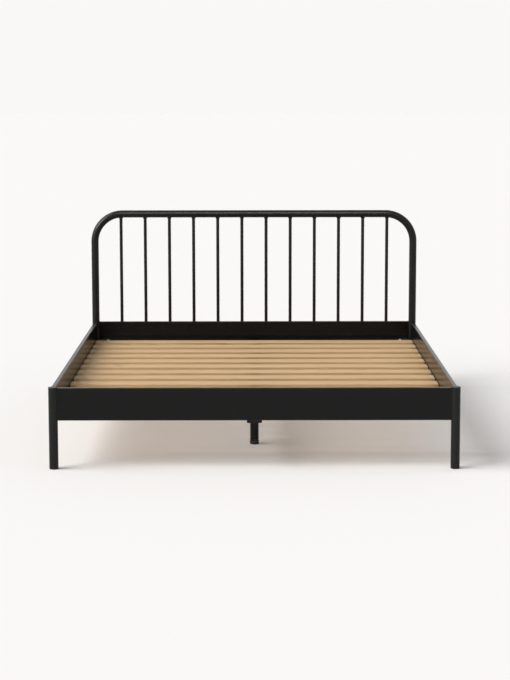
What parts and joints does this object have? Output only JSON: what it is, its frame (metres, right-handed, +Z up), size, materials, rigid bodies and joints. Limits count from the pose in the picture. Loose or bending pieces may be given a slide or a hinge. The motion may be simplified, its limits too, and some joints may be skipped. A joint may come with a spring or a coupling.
{
  "type": "metal bed frame",
  "caption": "Metal bed frame: bent round-tube headboard with upright spindles, low foot end with a flat panel between round posts, side rails, centre beam on levelling legs and wooden slats.",
  "frame": {"origin": "on the floor, below the middle of the bed", "axes": "+X to the right seen from the foot end, +Y towards the headboard, +Z up"},
  "size_m": [1.872, 2.072, 1.02],
  "materials": {
    "powder_coat": "matt black powder coat with a fine texture",
    "cap_plastic": "matt black moulded plastic",
    "glide_plastic": "black moulded plastic, lightly scuffed",
    "zinc_steel": "bright zinc plated steel",
    "slat_wood": "planed pine, unvarnished"
  },
  "bodies": {
    "frame": {"headboard_hoop": "powder_coat", "head_panel": "powder_coat", "spindle_01": "powder_coat", "spindle_02": "powder_coat", "spindle_03": "powder_coat", "spindle_04": "powder_coat", "spindle_05": "powder_coat", "spindle_06": "powder_coat", "spindle_07": "powder_coat", "spindle_08": "powder_coat", "spindle_09": "powder_coat", "spindle_10": "powder_coat", "spindle_11": "powder_coat", "spindle_12": "powder_coat", "foot_panel": "powder_coat", "foot_post_left": "powder_coat", "foot_post_right": "powder_coat", "post_cap_left": "cap_plastic", "post_cap_right": "cap_plastic", "side_rail_left": "powder_coat", "side_rail_right": "powder_coat", "slat_ledge_left": "powder_coat", "slat_ledge_right": "powder_coat", "glide_foot_left": "glide_plastic", "corner_bracket_foot_left": "powder_coat", "corner_bolt_foot_left_lower": "zinc_steel", "corner_bolt_foot_left_upper": "zinc_steel", "glide_foot_right": "glide_plastic", "corner_bracket_foot_right": "powder_coat", "corner_bolt_foot_right_lower": "zinc_steel", "corner_bolt_foot_right_upper": "zinc_steel", "glide_head_left": "glide_plastic", "corner_bracket_head_left": "powder_coat", "corner_bolt_head_left_lower": "zinc_steel", "corner_bolt_head_left_upper": "zinc_steel", "glide_head_right": "glide_plastic", "corner_bracket_head_right": "powder_coat", "corner_bolt_head_right_lower": "zinc_steel", "corner_bolt_head_right_upper": "zinc_steel", "centre_beam": "powder_coat", "beam_saddle_foot": "powder_coat", "beam_saddle_head": "powder_coat", "centre_leg_foot": "powder_coat", "centre_leg_head": "powder_coat", "slat_01": "slat_wood", "slat_02": "slat_wood", "slat_03": "slat_wood", "slat_04": "slat_wood", "slat_05": "slat_wood", "slat_06": "slat_wood", "slat_07": "slat_wood", "slat_08": "slat_wood", "slat_09": "slat_wood", "slat_10": "slat_wood", "slat_11": "slat_wood", "slat_12": "slat_wood"},
    "pad_foot": {"levelling_pad_foot": "glide_plastic"},
    "stud_foot": {"levelling_stud_foot": "zinc_steel"},
    "pad_head": {"levelling_pad_head": "glide_plastic"},
    "stud_head": {"levelling_stud_head": "zinc_steel"}
  },
  "joints": [
    {"name": "pad_foot_travel", "type": "slide", "parent": "frame", "child": "pad_foot", "axis": [0, 0, -1], "range_m": [-0.003, 0.012]},
    {"name": "stud_foot_turn", "type": "hinge", "parent": "pad_foot", "child": "stud_foot", "pos_m": [0, -0.5075, 0], "axis": [0, 0, -1], "range_deg": [-720, 2880]},
    {"name": "pad_head_travel", "type": "slide", "parent": "frame", "child": "pad_head", "axis": [0, 0, -1], "range_m": [-0.003, 0.012]},
    {"name": "stud_head_turn", "type": "hinge", "parent": "pad_head", "child": "stud_head", "pos_m": [0, 0.5075, 0], "axis": [0, 0, -1], "range_deg": [-720, 2880]}
  ],
  "couplings": [
    {"joint": "stud_foot_turn", "follows": "pad_foot_travel", "rad_per_m": 4188.7},
    {"joint": "stud_head_turn", "follows": "pad_head_travel", "rad_per_m": 4188.7}
  ]
}
